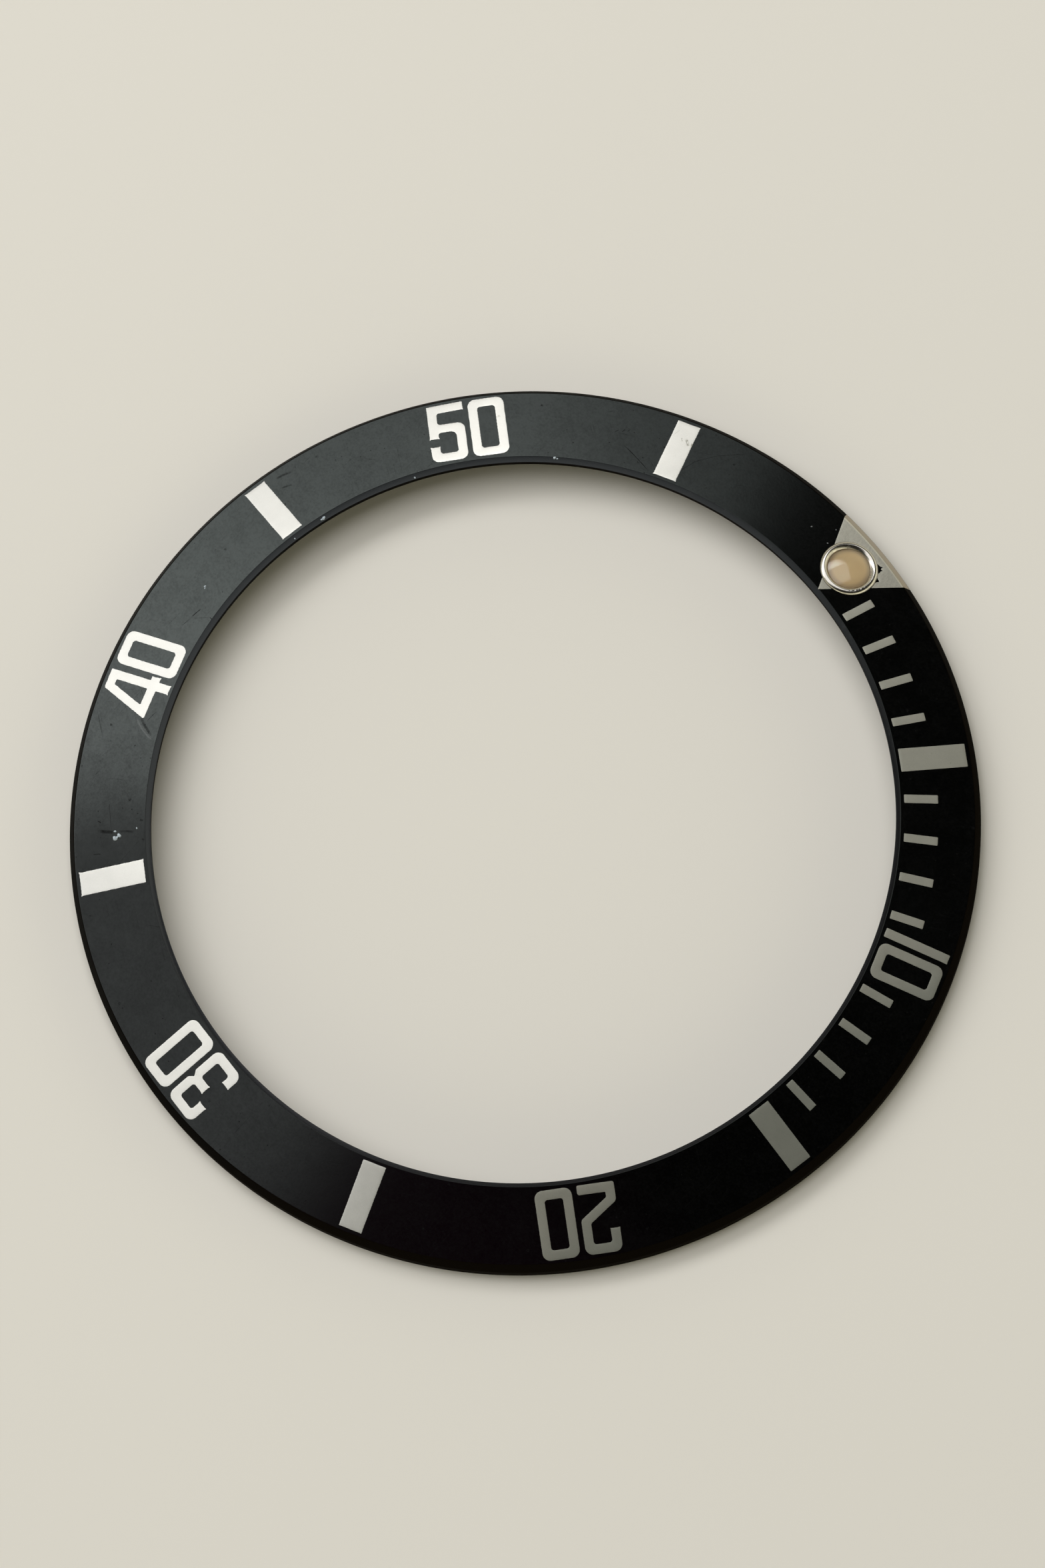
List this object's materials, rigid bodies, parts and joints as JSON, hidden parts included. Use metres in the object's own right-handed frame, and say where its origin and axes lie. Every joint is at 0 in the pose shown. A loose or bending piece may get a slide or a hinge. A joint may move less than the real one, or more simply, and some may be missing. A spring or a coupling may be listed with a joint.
{
  "type": "watch bezel insert",
  "caption": "Dark sloping ring for a rotating watch bezel, with a bare metal minute scale, numerals, a triangle at zero and a luminous pearl set in a metal cup.",
  "frame": {"origin": "centre of the ring on the plane of its foot", "axes": "+Z along the ring's axis, out of the dial face; +Y towards the triangle and pearl at zero; minutes run clockwise seen from +Z, so +X is minute 15"},
  "size_m": [0.0375, 0.0374, 0.0018],
  "materials": {
    "anodised_ring": "satin black anodised skin with fine dust, hairlines and a slightly lighter rolled inner edge",
    "bare_mark": "fine matte bare aluminium with a slightly ragged outline",
    "bare_triangle": "grained bare aluminium with dark chips beside the pearl",
    "cup_metal": "polished rolled bead with small nicks",
    "lume": "aged cream to tan luminous paste",
    "lens": "clear low dome with fine scratches"
  },
  "bodies": {
    "root": {"insert_ring": "anodised_ring", "five_minute_bar_05": "bare_mark", "five_minute_bar_15": "bare_mark", "five_minute_bar_25": "bare_mark", "five_minute_bar_35": "bare_mark", "five_minute_bar_45": "bare_mark", "five_minute_bar_55": "bare_mark", "minute_tick_01": "bare_mark", "minute_tick_02": "bare_mark", "minute_tick_03": "bare_mark", "minute_tick_04": "bare_mark", "minute_tick_06": "bare_mark", "minute_tick_07": "bare_mark", "minute_tick_08": "bare_mark", "minute_tick_09": "bare_mark", "minute_tick_11": "bare_mark", "minute_tick_12": "bare_mark", "minute_tick_13": "bare_mark", "minute_tick_14": "bare_mark", "numeral_10": "bare_mark", "numeral_20": "bare_mark", "numeral_30": "bare_mark", "numeral_40": "bare_mark", "numeral_50": "bare_mark", "zero_triangle": "bare_triangle", "pearl_cup": "cup_metal", "pearl_lume": "lume", "pearl_lens": "lens"}
  },
  "joints": []
}
